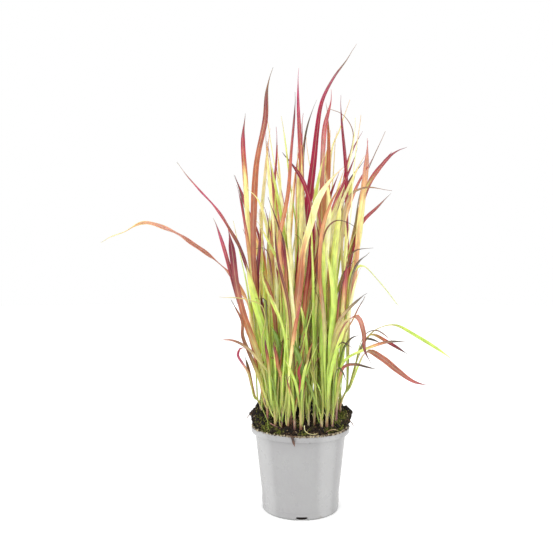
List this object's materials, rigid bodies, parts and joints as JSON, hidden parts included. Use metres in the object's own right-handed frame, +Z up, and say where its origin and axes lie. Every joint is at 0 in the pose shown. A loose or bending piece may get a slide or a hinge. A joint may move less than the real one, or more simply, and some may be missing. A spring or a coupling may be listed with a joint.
{
  "type": "potted japanese blood grass",
  "caption": "Clump of upright narrow grass blades, crimson at the tips and lime below, growing in a round tapered nursery pot filled with peat.",
  "frame": {"origin": "middle of the pot's base, in the plane of its foot ring and middle pad", "axes": "+Z up along the pot's axis; -Y is the front, towards the viewer; +X to the viewer's right"},
  "size_m": [0.4548, 0.2158, 0.6158],
  "materials": {
    "pot_plastic": "satin thermoformed polypropylene",
    "peat": "moist fibrous peat with moss",
    "leaf": "satin leaf skin, crimson to lime"
  },
  "bodies": {
    "root": {"pot": "pot_plastic", "root_ball": "peat", "tiller_01_lemon": "leaf", "tiller_02_copper": "leaf", "tiller_03_lime": "leaf", "tiller_04_crimson": "leaf", "tiller_05_rose": "leaf", "tiller_06_lemon": "leaf", "tiller_07_rose": "leaf", "tiller_08_olive": "leaf", "tiller_09_lime": "leaf", "tiller_10_rose": "leaf", "tiller_11_copper": "leaf", "tiller_12_crimson": "leaf", "tiller_13_lime": "leaf", "tiller_14_lemon": "leaf", "tiller_15_dried": "leaf", "tiller_16_olive": "leaf", "tiller_17_lemon": "leaf", "tiller_18_lime": "leaf", "tiller_19_rose": "leaf", "tiller_20_crimson": "leaf", "tiller_21_crimson": "leaf", "tiller_22_dried": "leaf", "tiller_23_crimson": "leaf", "tiller_24_lime": "leaf", "tiller_25_olive": "leaf", "tiller_26_lime": "leaf", "tiller_27_olive": "leaf", "tiller_28_lime": "leaf", "tiller_29_lime": "leaf", "tiller_30_lime": "leaf", "tiller_31_rose": "leaf", "tiller_32_lemon": "leaf", "tiller_33_rose": "leaf", "tiller_34_crimson": "leaf", "tiller_35_lime": "leaf", "tiller_36_lemon": "leaf", "tiller_37_olive": "leaf", "tiller_38_lime": "leaf", "tiller_39_lime": "leaf", "tiller_40_lime": "leaf", "tiller_41_rose": "leaf", "tiller_42_rose": "leaf", "tiller_43_rose": "leaf", "tiller_44_lime": "leaf"}
  },
  "joints": []
}
